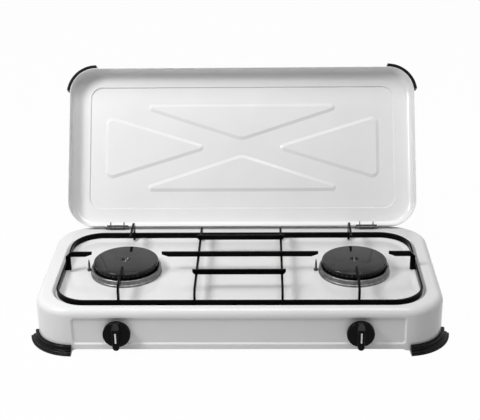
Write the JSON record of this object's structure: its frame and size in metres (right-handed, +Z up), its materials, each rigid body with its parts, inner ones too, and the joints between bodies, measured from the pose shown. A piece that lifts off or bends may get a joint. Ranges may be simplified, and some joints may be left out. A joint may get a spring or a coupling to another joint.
{
  "type": "camping stove",
  "caption": "Low table-top gas stove: white pressed body with rounded corners, round burners under a black strip grate, turn knobs in front and a hinged tray lid that stands open.",
  "frame": {"origin": "middle of the floor area that the stove takes up with its lid open, on the surface it stands on", "axes": "+X along the stove's width to the right as seen from the knobs, +Y from the knobs to the hinges, +Z up"},
  "size_m": [0.574, 0.4194, 0.2879],
  "materials": {
    "white_enamel": "glossy white vitreous enamel on pressed steel",
    "black_enamel": "glossy black enamel",
    "cast_aluminium": "die cast, bare",
    "zinc_steel": "zinc plated steel",
    "brass": "machined brass",
    "knob_plastic": "glossy black plastic",
    "foot_plastic": "black moulded plastic",
    "bumper_rubber": "black rubber",
    "spring_steel": "spring wire"
  },
  "bodies": {
    "stove": {"body_shell": "white_enamel", "burner_cap_left": "black_enamel", "burner_cap_right": "black_enamel", "burner_cup_left": "cast_aluminium", "burner_cup_right": "cast_aluminium", "cap_screws": "zinc_steel", "clamp_screws": "zinc_steel", "flame_ring_left": "black_enamel", "flame_ring_right": "black_enamel", "flame_sensor_left": "zinc_steel", "flame_sensor_right": "zinc_steel", "foot_front_left": "foot_plastic", "foot_front_right": "foot_plastic", "foot_rear_left": "foot_plastic", "foot_rear_right": "foot_plastic", "hinge_knuckle_left": "zinc_steel", "hinge_knuckle_right": "zinc_steel", "hinge_pin_left": "zinc_steel", "hinge_pin_right": "zinc_steel", "hose_nozzle": "brass", "injector_left": "brass", "injector_right": "brass", "manifold_pipe": "zinc_steel", "mixing_tube_left": "zinc_steel", "mixing_tube_right": "zinc_steel", "nozzle_nut": "brass", "pipe_brackets": "zinc_steel", "pipe_clamps": "zinc_steel", "sensor_nuts": "zinc_steel", "tube_screws": "zinc_steel", "valve_left": "brass", "valve_right": "brass"},
    "lid": {"lid_shell": "white_enamel", "hinge_ears_left": "zinc_steel", "hinge_ears_right": "zinc_steel", "lid_bumper_left": "bumper_rubber", "lid_bumper_right": "bumper_rubber"},
    "grate": {"grate_ring": "black_enamel", "cross_bars": "black_enamel", "pan_bar_long": "black_enamel", "pan_bars_short": "black_enamel", "side_fingers": "black_enamel", "deep_fingers": "black_enamel"},
    "seat_left": {"spring_seat_left": "zinc_steel", "stem_spring_left": "spring_steel"},
    "seat_right": {"spring_seat_right": "zinc_steel", "stem_spring_right": "spring_steel"},
    "knob_left": {"knob_left": "knob_plastic", "valve_stem_left": "zinc_steel"},
    "knob_right": {"knob_right": "knob_plastic", "valve_stem_right": "zinc_steel"}
  },
  "joints": [
    {"name": "lid_hinge", "type": "hinge", "parent": "stove", "child": "lid", "pos_m": [0, 0.0643, 0.0682], "axis": [1, 0, 0], "range_deg": [0, 120.4]},
    {"name": "grate_lift", "type": "slide", "parent": "stove", "child": "grate", "axis": [0, 0, 1], "range_m": [0, 0.005]},
    {"name": "knob_push_left", "type": "slide", "parent": "stove", "child": "seat_left", "axis": [0, 1, 0], "range_m": [0, 0.0026], "stiffness_N_per_m": 1200, "deforming": ["stem_spring_left"]},
    {"name": "knob_turn_left", "type": "hinge", "parent": "seat_left", "child": "knob_left", "pos_m": [-0.1616, -0.1887, 0.0312], "axis": [0, -1, 0], "range_deg": [0, 210]},
    {"name": "knob_push_right", "type": "slide", "parent": "stove", "child": "seat_right", "axis": [0, 1, 0], "range_m": [0, 0.0026], "stiffness_N_per_m": 1200, "deforming": ["stem_spring_right"]},
    {"name": "knob_turn_right", "type": "hinge", "parent": "seat_right", "child": "knob_right", "pos_m": [0.1616, -0.1887, 0.0312], "axis": [0, -1, 0], "range_deg": [0, 210]}
  ]
}
